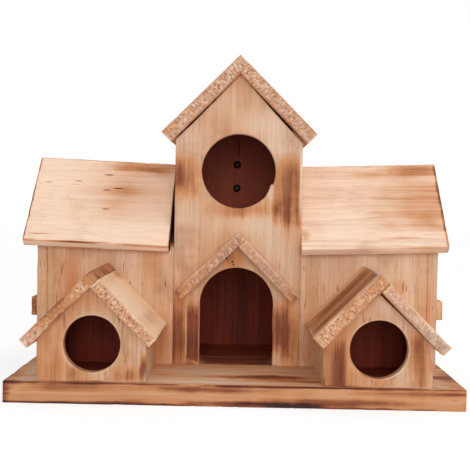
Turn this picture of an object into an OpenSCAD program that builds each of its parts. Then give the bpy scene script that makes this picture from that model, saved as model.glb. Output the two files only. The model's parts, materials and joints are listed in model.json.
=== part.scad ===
// Wooden bird house in the form of a small dovecote: a ridge-roofed body in two wings,
// a tower in the middle, two gabled houses in front and a hooded arched doorway,
// all nailed up from plain boards on one base board.
// X runs to the right seen from the front, Y to the back and Z up, in millimetres.
// The origin is the middle of the base board's underside.
// Every gable is a right angle, so each roof slopes at 45 degrees and the boards lap squarely.

/* [Base board] */
// Width of the base board
base_w = 330; // [326:1:380]
// Depth of the base board, front to back
base_d = 200; // [190:1:240]
// Thickness of the base board
base_t = 15.5; // [10:0.5:25]
// Radius of the base board's upright corners
base_corner_r = 2; // [0.5:0.5:6]

/* [Boards] */
// Thickness of the wall boards
wall_t = 8; // [5:0.5:11]
// Thickness of the wings' roof boards
wing_roof_t = 7; // [5:0.5:10]
// Thickness of the tower's roof boards
tower_roof_t = 10; // [6:0.5:14]
// Thickness of the small houses' roof boards
house_roof_t = 8; // [5:0.5:11]
// Thickness of the heavy inner roof board on the right house
heavy_roof_t = 10; // [5:0.5:12]

/* [Wings] */
// Strip of base board left beside each end wall
side_margin = 7; // [3:0.5:12]
// Depth over the front and back walls
body_d = 110; // [90:1:120]
// Strip of base board left behind the back walls
back_margin = 10; // [2:0.5:16]
// Height of the front wall's outer corner above the base board
wing_wall_h = 99; // [90:1:110]
// How far the roof boards reach out over the front and back walls
wing_eave = 11.7; // [5:0.1:15]
// How far the left wing's roof boards reach out over the end wall
left_verge = 9.4; // [3:0.1:12]
// How far the right wing's roof boards reach out over the end wall
right_verge = 6.4; // [3:0.1:12]
// Fall of the wing roofs towards the tower, in degrees
wing_roof_fall = 2; // [0:0.5:3]
// Gap left between the left wing's roof and the tower
left_roof_gap = 2.6; // [0:0.1:6]

/* [Wing entrances] */
// Diameter of the entrance hole in each end wall
side_hole_d = 40; // [25:1:46]
// Height of the side hole's centre above the base board
side_hole_h = 74.5; // [70:0.5:85]
// Length of the ledge under each side hole
ledge_l = 60; // [30:1:80]
// Height of the ledge
ledge_h = 15.5; // [8:0.5:18]
// How far the ledge stands out from the end wall
ledge_out = 10; // [5:0.5:20]
// Distance from the hole's lower rim down to the left ledge
ledge_drop = 5.4; // [3:0.1:10]
// How much higher the right ledge is nailed on
right_ledge_lift = 2.1; // [0:0.1:3]

/* [Tower] */
// Width of the tower
tower_w = 100; // [90:1:106]
// Height of the tower's shoulders above the wing roofs' inside peak
tower_rise = 25.5; // [24:0.5:45]
// How far the roof boards reach out past the shoulders
tower_eave = 10.8; // [5:0.1:14]
// How far the roof boards reach out over the front and back walls
tower_verge = 8; // [3:0.5:15]
// Diameter of the tower's round hole
tower_hole_d = 58; // [30:1:64]
// Distance from the shoulders down to the hole's centre
tower_hole_drop = 26; // [15:0.5:30]
// Open joint under the left roof board, at the front wall's shoulder
left_gable_gap = 1.2; // [0:0.1:2.5]
// Open joint under the right roof board, at the front wall's shoulder
right_gable_gap = 2.4; // [0:0.1:3]

/* [Doorway] */
// Width of the arched doorway
arch_w = 58; // [40:1:62]
// Height of the arch above the base board
arch_h = 77.5; // [66:0.5:82]
// Height of the hood's inside peak above the arch
hood_rise = 16.5; // [12:0.5:18]
// How far the hood reaches past each side of the arch
hood_eave = 19.5; // [15:0.1:20]
// How far the hood stands out from the tower
hood_out = 11; // [6:0.5:16]
// Thickness of the hood's slats
hood_t = 8; // [5:0.5:10]
// How far the hood's left end is lifted out of level, in degrees
hood_tilt = 0.9; // [0:0.1:2]
// Width of the strip that has split away beside the doorway
split_w = 10; // [4:0.5:11]
// Height of that strip
split_h = 47; // [20:1:55]
// Height of its lower end above the base board
split_foot = 4; // [2:0.5:10]
// Depth of the split
split_depth = 2; // [0.5:0.1:3.5]

/* [Small houses] */
// Width of each small house
house_w = 77.5; // [66:0.5:82]
// Distance from the base board's side edge to the house
house_margin = 24.8; // [20:0.1:28]
// Distance from the base board's front edge to the house
house_setback = 2.5; // [0:0.5:6]
// Height of the house's side walls above the base board
house_wall_h = 29.8; // [24:0.1:34]
// How far the outer roof boards reach out past the side walls
house_outer_eave = 10.5; // [4:0.1:12]
// How far the inner roof boards, next to the doorway, reach out past the side walls
house_inner_eave = 8.3; // [4:0.1:11]
// How far the roof boards reach out in front
house_verge = 11.5; // [5:0.5:16]
// Diameter of the house's round hole
house_hole_d = 40.5; // [25:0.5:44]
// Height of the hole's centre above the base board
house_hole_h = 27; // [24:0.5:30]
// Open joint beside the peak, under the right house's outer roof board
house_peak_gap = 2.8; // [0:0.1:4]
// Share of the slope that this open joint runs down
house_gap_share = 0.55; // [0.2:0.05:0.8]

/* [Back screws] */
// Distance between the two screws in the tower's back wall
screw_pitch = 21; // [12:0.5:30]
// How far the pair sits below the round hole's centre
screw_drop = 1.5; // [0:0.5:6]
// How far the pair sits to the left of the tower's middle
screw_offset = 2.2; // [0:0.1:6]
// Diameter of a screw's round head
screw_head_d = 7; // [5:0.5:9]
// Height of a screw's head
screw_head_h = 3; // [1:0.1:3]
// Diameter of a screw's shank
screw_d = 3; // [2:0.1:3.8]

/* [Hidden] */

$fn = 96;
slope = cos(45);
// Room for a screw's shank in its hole
screw_clearance = 0.1;
// Extra length on cutting shapes, so that they pass right through
through = 30;

body_w = base_w - 2 * side_margin;

// Places along Y
body_back = base_d / 2 - back_margin;
body_front = body_back - body_d;
ridge_y = (body_front + body_back) / 2;
house_front = -base_d / 2 + house_setback;
house_d = body_front - house_front;

// Inside peaks of the roofs, where the undersides of two roof boards meet
wing_peak = base_t + wing_wall_h + body_d / 2;
tower_shoulder = wing_peak + tower_rise;
tower_peak = tower_shoulder + tower_w / 2;
hood_peak = base_t + arch_h + hood_rise;
house_peak = base_t + house_wall_h + house_w / 2;

// Outer lower corner of the hood's right slat, on which the hood is turned
hood_reach = arch_w / 2 + hood_eave;
hood_foot = hood_peak + hood_t / slope - hood_reach;

house_x = base_w / 2 - house_margin - house_w / 2;
tower_hole_z = tower_shoulder - tower_hole_drop;
arch_spring = base_t + arch_h - arch_w / 2;
side_hole_z = base_t + side_hole_h;
ledge_top = side_hole_z - side_hole_d / 2 - ledge_drop;

wood = "burlywood";
pale_wood = "wheat";
scorched_wood = "peru";
dark_metal = "dimgray";

// Length of a roof board, from the inside peak to its square-cut lower end,
// so that its outer lower corner lies reach out from the peak
function board_length(reach, t) = reach / slope - t;

// Extrudes an outline drawn in X and Z from y0 towards the back
module frontal(y0, depth) {
  translate([0, y0 + depth, 0]) rotate([90, 0, 0]) linear_extrude(depth) children();
}

// Extrudes an outline drawn in Y and Z from x0 to the right
module sideways(x0, width) {
  translate([x0, 0, 0]) rotate([90, 0, 90]) linear_extrude(width) children();
}

// Section of a roof board that slopes down to the left from the inside peak at the origin.
// With a lap it runs on past the peak, over the square end of the opposite board.
module board_section(reach, t, lap = 0) {
  rotate(225) translate([-lap, -t]) square([board_length(reach, t) + lap, t]);
}

// Board between two X, two Y and two Z values
module board(x, y, z) {
  translate([x[0], y[0], z[0]]) cube([x[1] - x[0], y[1] - y[0], z[1] - z[0]]);
}

// Round hole along Y, centred at x and z, through a wall whose outer face is at y0
module round_hole_y(x, y0, z, d) {
  translate([x, y0 + wall_t + through, z]) rotate([90, 0, 0]) cylinder(d = d, h = wall_t + 2 * through);
}

module base_board() {
  r = base_corner_r;
  color(wood) linear_extrude(base_t) {
    square([base_w - 2 * r, base_d], center = true);
    square([base_w, base_d - 2 * r], center = true);
    for (x = [-1, 1], y = [-1, 1]) translate([x * (base_w / 2 - r), y * (base_d / 2 - r)]) circle(r);
  }
}

// Tower

// Gabled outline of the tower; each shoulder may be cut low, which opens the joint under the roof
module tower_outline(left_gap = 0, right_gap = 0) {
  half = tower_w / 2;
  polygon([
    [-half, base_t], [half, base_t],
    [half, tower_shoulder - right_gap / slope],
    [0, tower_peak],
    [-half, tower_shoulder - left_gap / slope],
  ]);
}

module arch_cut() {
  board([-arch_w / 2, arch_w / 2], [body_front - through, body_front + wall_t + through],
    [base_t - through, arch_spring]);
  round_hole_y(0, body_front, arch_spring, arch_w);
}

// Strip of the face that has split off along the grain, left of the doorway
module split_cut() {
  foot = base_t + split_foot;
  board([-arch_w / 2 - split_w, 0], [body_front - through, body_front + split_depth],
    [foot, foot + split_h]);
}

module tower_front_wall() {
  color(wood) difference() {
    frontal(body_front, wall_t) tower_outline(left_gable_gap, right_gable_gap);
    round_hole_y(0, body_front, tower_hole_z, tower_hole_d);
    arch_cut();
    split_cut();
  }
}

function screw_z(side) = tower_hole_z - screw_drop + side * screw_pitch / 2;

module tower_back_wall() {
  color(wood) difference() {
    frontal(body_back - wall_t, wall_t) tower_outline();
    for (side = [-1, 1])
      round_hole_y(-screw_offset, body_back - wall_t, screw_z(side), screw_d + 2 * screw_clearance);
  }
}

// Side wall between the front and back walls, its top bevelled to the roof board
module tower_side_wall(side) {
  inner = tower_w / 2 - wall_t;
  color(wood) mirror([side < 0 ? 1 : 0, 0, 0])
    frontal(body_front + wall_t, body_d - 2 * wall_t) polygon([
      [inner, base_t], [tower_w / 2, base_t],
      [tower_w / 2, tower_shoulder],
      [inner, tower_shoulder + wall_t],
    ]);
}

// The left board laps over the top end of the right one
module tower_roof(side) {
  color(pale_wood) translate([0, 0, tower_peak]) mirror([side > 0 ? 1 : 0, 0, 0])
    frontal(body_front - tower_verge, body_d + 2 * tower_verge)
      board_section(tower_w / 2 + tower_eave, tower_roof_t, side < 0 ? tower_roof_t : 0);
}

// The left slat laps over the right one, and the whole hood is tilted flat on the tower's front
module hood_slat(side) {
  color(scorched_wood) translate([hood_reach, 0, hood_foot]) rotate([0, hood_tilt, 0])
    translate([-hood_reach, 0, hood_peak - hood_foot]) mirror([side > 0 ? 1 : 0, 0, 0])
      frontal(body_front - hood_out, hood_out)
        board_section(hood_reach, hood_t, side < 0 ? hood_t : 0);
}

// Screw with a round head inside the tower and a plain shank to the back wall's outer face
module back_screw(side) {
  cap_r = (pow(screw_head_d / 2, 2) + pow(screw_head_h, 2)) / (2 * screw_head_h);
  inner_face = body_back - wall_t;
  color(dark_metal) translate([-screw_offset, inner_face, screw_z(side)]) rotate([90, 0, 0]) {
    intersection() {
      translate([0, 0, screw_head_h - cap_r]) sphere(cap_r);
      cylinder(d = screw_head_d, h = screw_head_h);
    }
    translate([0, 0, -wall_t]) cylinder(d = screw_d, h = wall_t);
  }
}

// Wings: each module draws the right-hand one, and left_or_right mirrors it

module left_or_right(side) {
  mirror([side < 0 ? 1 : 0, 0, 0]) children();
}

// Tips a right wing's roof down towards the tower, about the end wall's peak
module fallen_to_tower() {
  translate([body_w / 2, 0, wing_peak]) rotate([0, -wing_roof_fall, 0])
    translate([-body_w / 2, 0, -wing_peak]) children();
}

// Everything under the undersides of the wing's roof boards
module under_wing_roof() {
  fallen_to_tower() sideways(0, body_w / 2 + through) polygon([
    [ridge_y, wing_peak], [ridge_y - 2 * wing_peak, -wing_peak], [ridge_y + 2 * wing_peak, -wing_peak],
  ]);
}

// Front board laps over the back one; both stop at the tower, or a gap short of it
module wing_roof(side, front) {
  start = tower_w / 2 + (side < 0 ? left_roof_gap : 0);
  stop = body_w / 2 + (side < 0 ? left_verge : right_verge);
  color(pale_wood) left_or_right(side) intersection() {
    fallen_to_tower() sideways(0, stop + through) translate([ridge_y, wing_peak])
      mirror([front ? 0 : 1, 0])
        board_section(body_d / 2 + wing_eave, wing_roof_t, front ? wing_roof_t : 0);
    board([start, stop], [ridge_y - body_d, ridge_y + body_d], [base_t, 2 * wing_peak]);
  }
}

// Front or back wall, from the tower to the end wall
module wing_long_wall(side, front) {
  y0 = front ? body_front : body_back - wall_t;
  color(wood) left_or_right(side) intersection() {
    board([tower_w / 2, body_w / 2 - wall_t], [y0, y0 + wall_t], [base_t, wing_peak]);
    under_wing_roof();
  }
}

// Gabled end wall with its round entrance
module wing_end_wall(side) {
  color(wood) left_or_right(side) difference() {
    intersection() {
      board([body_w / 2 - wall_t, body_w / 2], [body_front, body_back], [base_t, wing_peak]);
      under_wing_roof();
    }
    translate([body_w / 2 - wall_t - through, ridge_y, side_hole_z]) rotate([0, 90, 0])
      cylinder(d = side_hole_d, h = wall_t + 2 * through);
  }
}

module ledge(side) {
  top = ledge_top + (side > 0 ? right_ledge_lift : 0);
  color(scorched_wood) left_or_right(side)
    board([body_w / 2, body_w / 2 + ledge_out], [ridge_y - ledge_l / 2, ridge_y + ledge_l / 2],
      [top - ledge_h, top]);
}

// Small houses: each module draws the right-hand one, and left_or_right mirrors it

// On the right house the front wall is cut low beside the peak, under the outer roof board
module house_front_wall(side) {
  half = house_w / 2;
  shoulder = base_t + house_wall_h;
  gap = side > 0 ? house_peak_gap / slope : 0;
  gap_end = half * house_gap_share;
  color(wood) left_or_right(side) difference() {
    translate([house_x, 0, 0]) frontal(house_front, wall_t) polygon([
      [-half, base_t], [half, base_t], [half, shoulder],
      [gap_end, house_peak - gap_end],
      [gap / 2, house_peak - gap / 2 - gap],
      [-gap / 2, house_peak - gap / 2],
      [-half, shoulder],
    ]);
    round_hole_y(house_x, house_front, base_t + house_hole_h, house_hole_d);
  }
}

// Side wall behind the front wall, its top bevelled to the roof board
module house_side_wall(side, outer) {
  half = house_w / 2;
  shoulder = base_t + house_wall_h;
  color(wood) left_or_right(side) translate([house_x, 0, 0]) mirror([outer ? 0 : 1, 0, 0])
    frontal(house_front + wall_t, house_d - wall_t) polygon([
      [half - wall_t, base_t], [half, base_t], [half, shoulder], [half - wall_t, shoulder + wall_t],
    ]);
}

// The left house's outer board laps over its inner one, the right house's inner board over its outer one
module house_roof(side, outer) {
  lapping = (side < 0) == outer;
  t = side > 0 && !outer ? heavy_roof_t : house_roof_t;
  eave = outer ? house_outer_eave : house_inner_eave;
  color(pale_wood) left_or_right(side) translate([house_x, 0, house_peak]) mirror([outer ? 1 : 0, 0, 0])
    frontal(house_front - house_verge, house_d + house_verge)
      board_section(house_w / 2 + eave, t, lapping ? house_roof_t : 0);
}

base_board();
tower_front_wall();
tower_back_wall();
tower_side_wall(-1);  // tower_left_wall
tower_side_wall(1);  // tower_right_wall
tower_roof(-1);  // tower_roof_left
tower_roof(1);  // tower_roof_right
hood_slat(-1);  // hood_left_slat
hood_slat(1);  // hood_right_slat
wing_long_wall(-1, true);  // left_wing_front_wall
wing_long_wall(-1, false);  // left_wing_back_wall
wing_end_wall(-1);  // left_wing_end_wall
wing_roof(-1, true);  // left_wing_roof_front
wing_roof(-1, false);  // left_wing_roof_back
ledge(-1);  // left_ledge
wing_long_wall(1, true);  // right_wing_front_wall
wing_long_wall(1, false);  // right_wing_back_wall
wing_end_wall(1);  // right_wing_end_wall
wing_roof(1, true);  // right_wing_roof_front
wing_roof(1, false);  // right_wing_roof_back
ledge(1);  // right_ledge
house_front_wall(-1);  // left_house_front_wall
house_side_wall(-1, true);  // left_house_outer_wall
house_side_wall(-1, false);  // left_house_inner_wall
house_roof(-1, true);  // left_house_roof_outer
house_roof(-1, false);  // left_house_roof_inner
house_front_wall(1);  // right_house_front_wall
house_side_wall(1, true);  // right_house_outer_wall
house_side_wall(1, false);  // right_house_inner_wall
house_roof(1, true);  // right_house_roof_outer
house_roof(1, false);  // right_house_roof_inner
back_screw(1);  // upper_screw
back_screw(-1);  // lower_screw
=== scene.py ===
"""Wooden birdhouse in the form of a small dovecote: worn boards, scorched wood and a studio stage."""
import json
import math
from dataclasses import dataclass, field

import bpy
import numpy as np
from mathutils import Matrix, Vector


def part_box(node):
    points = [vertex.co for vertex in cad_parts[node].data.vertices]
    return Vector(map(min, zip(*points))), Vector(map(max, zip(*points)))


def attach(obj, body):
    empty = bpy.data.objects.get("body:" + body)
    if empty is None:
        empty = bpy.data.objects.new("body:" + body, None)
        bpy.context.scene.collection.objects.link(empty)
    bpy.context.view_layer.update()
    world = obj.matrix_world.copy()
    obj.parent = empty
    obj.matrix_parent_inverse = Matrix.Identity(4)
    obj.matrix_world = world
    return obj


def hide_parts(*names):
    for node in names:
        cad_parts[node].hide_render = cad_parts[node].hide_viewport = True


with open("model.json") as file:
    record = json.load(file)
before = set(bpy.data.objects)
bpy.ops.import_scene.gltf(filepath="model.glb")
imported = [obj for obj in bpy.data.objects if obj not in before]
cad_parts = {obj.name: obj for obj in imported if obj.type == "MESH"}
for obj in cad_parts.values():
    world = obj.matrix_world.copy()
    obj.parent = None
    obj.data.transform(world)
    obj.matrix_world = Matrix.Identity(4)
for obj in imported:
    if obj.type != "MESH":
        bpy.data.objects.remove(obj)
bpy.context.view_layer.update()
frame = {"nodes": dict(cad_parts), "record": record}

bl_info = {
    "name": "Wooden Birdhouse",
    "version": (1, 0, 0),
    "blender": (4, 5, 0),
    "location": "3D View > Sidebar > Birdhouse",
    "description": "Builds the boards of a small scorched-wood birdhouse round its packed frame",
    "category": "Object",
}

MM = 0.001
BODY = "root"
SIDES = {"left": -1, "right": 1}
SCREWS = ("upper_screw", "lower_screw")


def from_screen(red, green, blue):
    """Linear colour of a screen colour given in steps of 0 to 255, by the two-part screen curve."""
    share = np.array([red, green, blue]) / 255
    linear = np.where(share <= 0.04045, share / 12.92, ((share + 0.055) / 1.055) ** 2.4)
    return tuple(float(part) for part in linear)


# Settings

def length(name, description, default):
    """A length setting in metres."""
    return bpy.props.FloatProperty(name=name, description=description, default=default, unit="LENGTH",
                                   precision=5)


def share(name, description, default):
    """A setting from 0 to 1."""
    return bpy.props.FloatProperty(name=name, description=description, default=default, min=0, max=1,
                                   subtype="FACTOR")


def angle(name, description, default):
    """An angle setting in radians."""
    return bpy.props.FloatProperty(name=name, description=description, default=default, unit="ROTATION",
                                   precision=5)


def plain_number(name, description, default):
    """A plain number setting."""
    return bpy.props.FloatProperty(name=name, description=description, default=default)


def colour(name, description, red, green, blue):
    """A colour setting, given as a screen colour."""
    return bpy.props.FloatVectorProperty(name=name, description=description, size=3, min=0, max=1,
                                         subtype="COLOR", default=from_screen(red, green, blue))


class BoardSettings(bpy.types.PropertyGroup):
    """How the boards are cut and worn."""
    arris: length("Arris", "Radius of the worn board edges", 0.6 * MM)
    wear: share("Edge wear", "How much the arris radius varies along an edge", 0.55)
    chip: length("Chip", "Radius added where a chip has come off an edge", 1.1 * MM)
    grid: length("Grid", "Spacing of the points over a board's face", 2.2 * MM)
    wave: length("Wave", "Height of the slow waves in a board's faces", 0.12 * MM)
    saw: length("Saw marks", "Roughness of a rough-sawn face", 0.22 * MM)
    rim: length("Rim wander", "How far a hand-sawn hole strays from a true circle", 0.25 * MM)
    nick: length("Nick", "Splinter left standing in the tower's round hole", 1.5 * MM)


class WoodColours(bpy.types.PropertyGroup):
    """Colours of the wood, from bare to charred."""
    cream: colour("Cream", "Bare pale wood of the wide roofs", 247, 217, 192)
    peach: colour("Peach", "Bare wood of the small roofs", 250, 212, 172)
    tan: colour("Tan", "Bare wood of the walls", 224, 192, 165)
    sap: colour("Sap", "Yellowish bands in the walls", 203, 166, 126)
    streak: colour("Streak", "Darker streaks along the grain", 194, 148, 114)
    ring: colour("Ring", "Late wood of the year rings", 178, 126, 88)
    toast: colour("Toast", "Lightly scorched wood", 203, 140, 93)
    brown: colour("Brown", "Scorched wood", 130, 68, 42)
    char: colour("Char", "Charred wood", 48, 24, 20)
    sawn: colour("Sawn", "Rough-sawn faces", 210, 170, 146)
    ash: colour("Ash", "Greyed rough-sawn faces", 186, 153, 136)
    speck: colour("Speck", "Dark torn fibres on sawn faces", 122, 76, 56)
    fleck: colour("Fleck", "Light torn fibres on sawn faces", 246, 220, 196)
    # Painted shade: the inside colour darkens the wood in the rooms, standing in for the shade there.
    inside: colour("Inside", "Stain that darkens the wood inside the rooms", 178, 100, 84)
    metal: colour("Metal", "Blackened screws", 46, 40, 38)


class StageSettings(bpy.types.PropertyGroup):
    """Camera, light and floor."""
    camera_x: length("Camera X", "Camera place to the right of the middle", 4.80 * MM)
    camera_y: length("Camera Y", "Camera place from front to back", -745.69 * MM)
    camera_z: length("Camera Z", "Camera height", 145.34 * MM)
    yaw: angle("Yaw", "Camera turn to the right", -0.0095)
    pitch: angle("Pitch", "Camera turn upwards", -0.0365)
    roll: angle("Roll", "Clockwise turn of the picture", 0.0183)
    lens: plain_number("Lens", "Focal length in millimetres", 70.61)
    sky: plain_number("Sky", "Strength of the even light", 0.64)
    key: plain_number("Key", "Power of the front lamp in watts", 17)
    top: plain_number("Top", "Power of the lamp high on the right in watts", 8)
    floor: colour("Floor", "Pale studio floor", 222, 222, 222)


# Surfaces as number arrays

def unit(vectors):
    """The same directions with length one."""
    return vectors / np.maximum(np.linalg.norm(vectors, axis=-1, keepdims=True), 1e-12)


def lattice_noise(points, cell, seed):
    """Smooth noise from -1 to 1: a fixed number at each lattice corner, blended by a cubic step."""
    scaled = points / cell
    corner = np.floor(scaled).astype(np.int64)
    part = scaled - corner
    part = part * part * (3 - 2 * part)
    total = np.zeros(len(points))
    for offset in np.ndindex(2, 2, 2):
        x, y, z = (corner + offset).T
        mixed = (x * 73856093) ^ (y * 19349663) ^ (z * 83492791) ^ (seed * 2654435761)
        mixed = ((mixed ^ (mixed >> 15)) * 2246822519) & 0xFFFFFFFF
        mixed = ((mixed ^ (mixed >> 13)) * 3266489917) & 0xFFFFFFFF
        number = (mixed & 0xFFFF) / 32767.5 - 1
        total += number * np.prod(np.where(offset, part, 1 - part), axis=1)
    return total


def grid_quads(rows, columns, closed=False):
    """Corner numbers of each cell of a grid numbered row by row; a closed grid joins its two end rows."""
    row = np.arange(rows if closed else rows - 1)[:, None]
    after = (row + 1) % rows
    column = np.arange(columns - 1)[None, :]
    cells = [row * columns + column, row * columns + column + 1,
             after * columns + column + 1, after * columns + column]
    return np.stack(cells, -1).reshape(-1, 4)


def steps(size, spacing):
    """Even shares from 0 to 1 that cut a size into pieces of about the spacing."""
    return np.linspace(0, 1, max(2, round(size / spacing)) + 1)


def patch(corners, spacing):
    """Four-cornered field: the point at shares (s, t) blends the corners linearly both ways."""
    a, b, c, d = (np.array(corner, float) for corner in corners)
    s = steps(max(np.linalg.norm(b - a), np.linalg.norm(c - d)), spacing)[None, :, None]
    t = steps(max(np.linalg.norm(d - a), np.linalg.norm(c - b)), spacing)[:, None, None]
    points = (1 - t) * ((1 - s) * a + s * b) + t * ((1 - s) * d + s * c)
    return points.reshape(-1, 2), grid_quads(t.shape[0], s.shape[1])


def ruled(inner, outer, shares, closed):
    """Field between two curves: at share s each point is (1 - s) of the inner and s of the outer curve."""
    s = np.asarray(shares)[None, :, None]
    points = (1 - s) * inner[:, None] + s * outer[:, None]
    return points.reshape(-1, 2), grid_quads(len(inner), s.shape[1], closed)


WELD_STEP = 0.001 * MM


def weld(*fields):
    """Joins fields of cells into one, with the points that they share counted once."""
    points = np.concatenate([part for part, _ in fields])
    starts = np.cumsum([0] + [len(part) for part, _ in fields[:-1]])
    quads = np.concatenate([cells + start for (_, cells), start in zip(fields, starts)])
    keys = np.round(points / WELD_STEP).astype(np.int64)
    _, first, number = np.unique(keys, axis=0, return_index=True, return_inverse=True)
    return points[first], number.reshape(-1)[quads]


def polyline(corners, spacing):
    """Points along straight runs between corners, the last corner left out."""
    corners = np.array(corners, float)
    runs = []
    for start, end in zip(corners[:-1], corners[1:]):
        s = steps(np.linalg.norm(end - start), spacing)[:-1, None]
        runs.append((1 - s) * start + s * end)
    return np.concatenate(runs)


def round_corners(points, size, radii):
    """Rounds a rectangular field's corners: each corner square is pressed radially into a quarter disc."""
    middle = np.array(size) / 2
    for corner, radius in zip(((0, 0), (1, 0), (1, 1), (0, 1)), radii):
        way = 2 * np.array(corner) - 1
        centre = middle + way * (middle - radius)
        offset = (points - centre) * way
        held = (offset > 0).all(axis=1)
        reach = offset[held].max(axis=1, keepdims=True)
        points[held] = centre + way * unit(offset[held]) * reach
    return points


SQUARE_CORNERS = (0.8 * MM,) * 4


@dataclass
class Cut:
    """How one board is cut: its seed, which ends are rough-sawn and how rough, and its corner radii."""
    seed: int
    sawn: tuple = ()
    rough: float = 1.0
    corners: tuple = SQUARE_CORNERS


# Sizes of a board's edge profile and of its wear

ARC = np.linspace(0, math.pi / 2, 4)
ROUNDEST = 0.4
SIDE_ROW = 1.6 * MM
LEAST_SIDE = 0.1 * MM
FACE_MARGIN = 0.5 * MM
SHARPEST_MITRE = 0.3
WEAR_CELL = 9 * MM
CHIP_CELL = 5 * MM
CHIP_LEVEL = 0.62
TORN_CELL = 1.7 * MM
FINE_TORN_CELL = 0.9 * MM
FINE_TORN = 0.6
TORN_DEPTH = 0.9
WAVE_CELL = 38 * MM
END_FACING = 0.75
PLANED_ROUGHNESS = 0.15
RIM_MARK = 0.35
SEED_STEP = 31


def rims(points, quads):
    """Rims of a flat field, which are the edges that only one cell uses.

    Gives the rim points' numbers, the place of each one's follower, the mitre, which is the move that brings
    both edges at a point in by one length, and the unit direction out of the field.
    """
    count = len(points)
    edges = np.concatenate([quads[:, [k, (k + 1) % 4]] for k in range(4)])
    keys = np.sort(edges, axis=1) @ np.array([count, 1])
    _, number, uses = np.unique(keys, return_inverse=True, return_counts=True)
    ids, after = edges[uses[number.reshape(-1)] == 1].T
    place = np.full(count, -1)
    place[ids] = np.arange(len(ids))
    before = np.zeros(count, int)
    before[after] = ids
    into = unit(points[ids] - points[before[ids]])
    out = unit(points[after] - points[ids])
    left_in = np.stack([-into[:, 1], into[:, 0]], 1)
    left_out = np.stack([-out[:, 1], out[:, 0]], 1)
    both = left_in + left_out
    mitre = both / np.maximum(1 + np.sum(left_in * left_out, 1), SHARPEST_MITRE)[:, None]
    return ids, place[after], mitre, -unit(both)


def board(points, quads, thickness, cut, settings):
    """Closed board over a flat field.

    The field is the board's face. Round each of its rims runs a profile: a quarter round of the arris
    radius, the side, and a quarter round onto the back, which repeats the field. The radius follows
    noise along the rim, and deeper noise takes out chips.
    """
    count = len(points)
    ids, follow, mitre, outward = rims(points, quads)
    here = points[ids]
    seed = cut.seed * SEED_STEP

    def radius(side):
        flat = np.column_stack([here, np.zeros(len(here))])
        worn = settings.arris * (1 + settings.wear * lattice_noise(flat, WEAR_CELL, seed + side))
        chip = np.clip(lattice_noise(flat, CHIP_CELL, seed + side + 2) - CHIP_LEVEL, 0, 1) / (1 - CHIP_LEVEL)
        return np.minimum(worn + settings.chip * chip, thickness * ROUNDEST)

    front, back = radius(1), radius(2)
    body = np.maximum(thickness - front - back, LEAST_SIDE)
    parts = np.linspace(0, 1, max(3, round(thickness / SIDE_ROW)) + 1)[1:-1]
    bends = [(1 - math.sin(turn), 1 - math.cos(turn), turn / ARC[-1]) for turn in ARC]
    rings = [(front * inset, front * depth, 1.0, reach) for inset, depth, reach in bends]
    rings += [(0 * front, front + body * part, 0.0, 1.0) for part in parts]
    rings += [(back * inset, thickness - back * depth, 1.0, reach) for inset, depth, reach in bends[::-1]]
    sawn = (np.abs(outward[:, list(cut.sawn)]) > END_FACING).any(axis=1)
    rough = settings.saw * cut.rough * (PLANED_ROUGHNESS + (1 - PLANED_ROUGHNESS) * sawn)
    side = []
    for inset, depth, _, reach in rings:
        ring = here + mitre * inset[:, None]
        where = np.column_stack([ring, depth])
        torn = lattice_noise(where, TORN_CELL, seed + 7)
        torn = torn + FINE_TORN * lattice_noise(where, FINE_TORN_CELL, seed + 8)
        ring = ring + mitre * (rough * reach * (TORN_DEPTH + torn) / 2)[:, None]
        side.append(np.column_stack([ring, depth]))
    faces = []
    for inset, depth in ((front, 0.0), (back, thickness)):
        face = points.copy()
        face[ids] += mitre * (inset + FACE_MARGIN)[:, None]
        faces.append(np.column_stack([face, np.full(count, depth)]))
    slow = settings.wave * lattice_noise(faces[0], WAVE_CELL, seed + 9)
    slow[ids] = 0
    faces[0][:, 2] += slow
    faces[1][:, 2] -= slow
    last = count + len(rings) * len(ids)
    ring_ids = [ids, *np.arange(count, last).reshape(len(rings), -1), last + ids]
    cells = [quads[:, ::-1]]
    for upper, lower in zip(ring_ids[:-1], ring_ids[1:]):
        cells.append(np.stack([upper, upper[follow], lower[follow], lower], 1))
    cells.append(quads + last)
    plain = np.zeros(count)
    rim_face = plain.copy()
    rim_face[ids] = RIM_MARK
    _, _, edge, reach = zip(*rings)
    upper_edge = np.where(np.arange(len(rings)) < len(ARC), edge, 0.0)
    marks = {
        "arris": np.concatenate([rim_face, np.repeat(edge, len(ids)), rim_face]),
        "upper": np.concatenate([rim_face, np.repeat(upper_edge, len(ids)), plain]),
        "sawn": np.concatenate([plain, np.outer(reach, sawn).ravel(), plain]),
    }
    return np.concatenate([faces[0], *side, faces[1]]), np.concatenate(cells), marks


# Boards set on the frame

POINT_STEP = 0.01 * MM


def node_points(node):
    """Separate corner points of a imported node."""
    mesh = frame["nodes"][node].data
    values = np.zeros(len(mesh.vertices) * 3)
    mesh.vertices.foreach_get("co", values)
    keys = np.round(values.reshape(-1, 3) / POINT_STEP).astype(np.int64)
    return np.unique(keys, axis=0) * POINT_STEP


def board_axes(outward, grain):
    """Along the grain, across it and into the board, as unit directions."""
    into = -unit(np.array(outward, float))
    along = np.array(grain, float)
    along = unit(along - into * (along @ into))
    return np.array([along, np.cross(into, along), into])


def board_corners(node, axes):
    """The eight corners of a board, as an array [along, across, into]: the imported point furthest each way."""
    points = node_points(node)
    local = points @ axes.T
    centre = (local.min(0) + local.max(0)) / 2
    reach = (local.max(0) - local.min(0)) / 2
    scaled = (local - centre) / reach
    corners = np.zeros((2, 2, 2, 3))
    for ends in np.ndindex(2, 2, 2):
        corners[ends] = points[np.argmax(scaled @ (2 * np.array(ends) - 1))]
    return corners


def block_place(corners, size):
    """Puts board points in place: shares of the board's three sizes blend its eight corners linearly."""
    def place(points):
        shares = points / size
        total = np.zeros((len(points), 3))
        for ends in np.ndindex(2, 2, 2):
            total += np.prod(np.where(ends, shares, 1 - shares), axis=1)[:, None] * corners[ends]
        return total
    return place


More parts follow.
